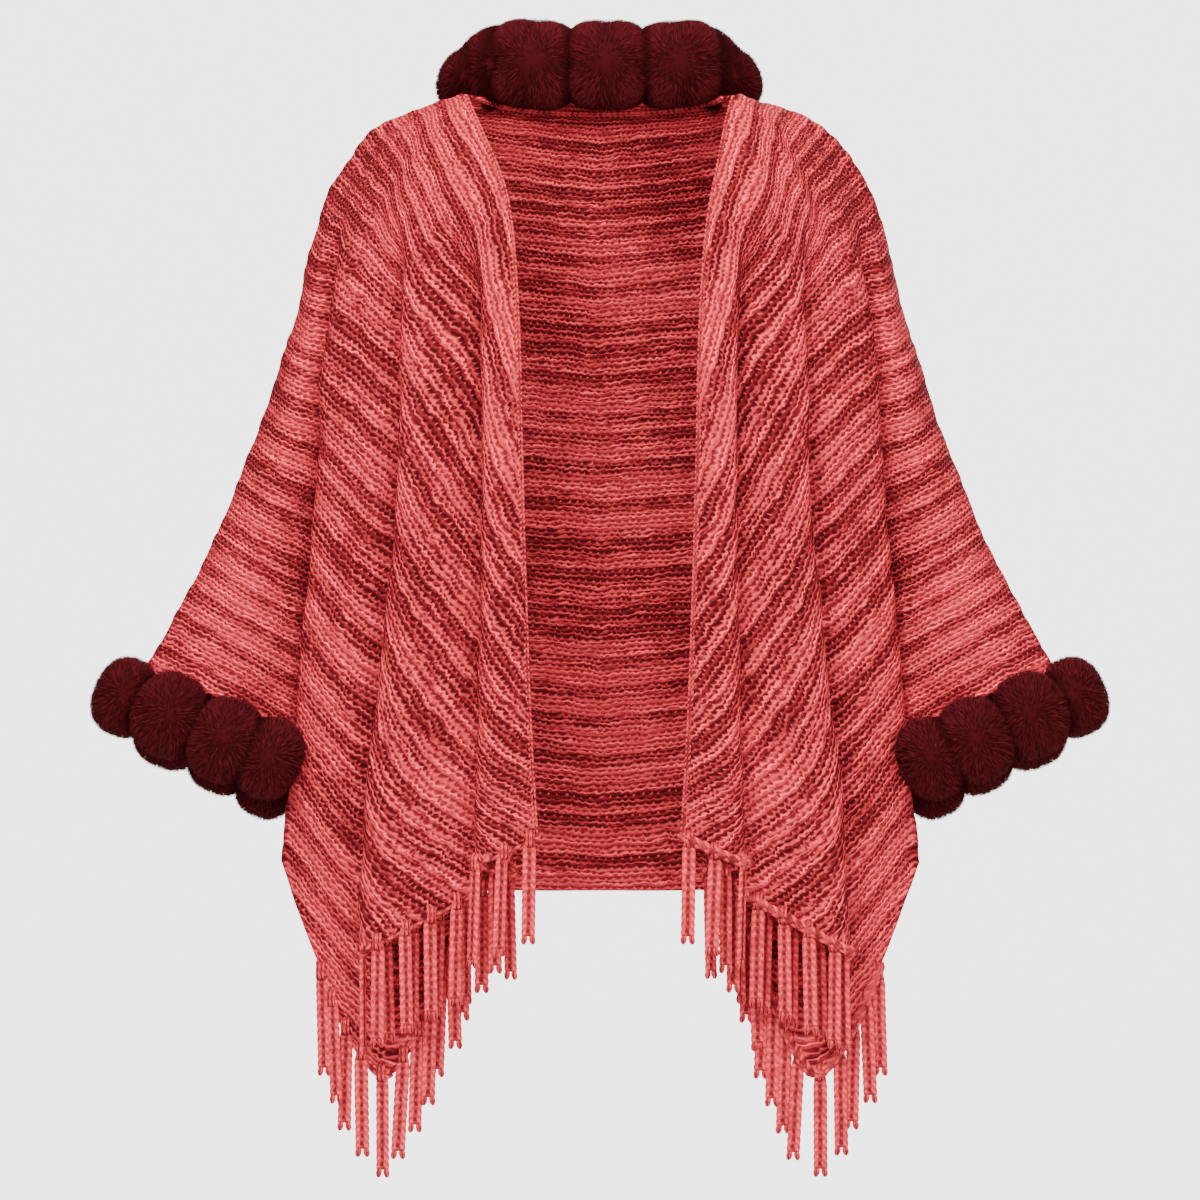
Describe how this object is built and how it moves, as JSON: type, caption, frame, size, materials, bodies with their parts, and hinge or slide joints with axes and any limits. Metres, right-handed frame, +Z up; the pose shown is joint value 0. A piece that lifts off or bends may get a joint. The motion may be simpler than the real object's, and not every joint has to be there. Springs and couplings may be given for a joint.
{
  "type": "knitted cape cardigan",
  "caption": "Open-front knitted cape cardigan in marled yarn, with a fur ball collar, wide sleeves with fur ball cuffs, and folded fronts with a fringed hem.",
  "frame": {"origin": "midway between the shoulder tops, at the height of the side of the neck, where the garment rests on the wearer", "axes": "+Z up, +Y towards the wearer's back, +X towards the wearer's left"},
  "size_m": [0.8798, 0.2656, 0.9981],
  "materials": {
    "knit": "matt ridged knit in coral and wine marled yarn",
    "fur": "short dense burgundy pile fur"
  },
  "bodies": {
    "root": {"back_panel": "knit", "front_left": "knit", "front_right": "knit", "sleeve_left": "knit", "sleeve_right": "knit", "fringe_left": "knit", "fringe_right": "knit", "fur_collar": "fur", "fur_cuff_left": "fur", "fur_cuff_right": "fur"}
  },
  "joints": []
}
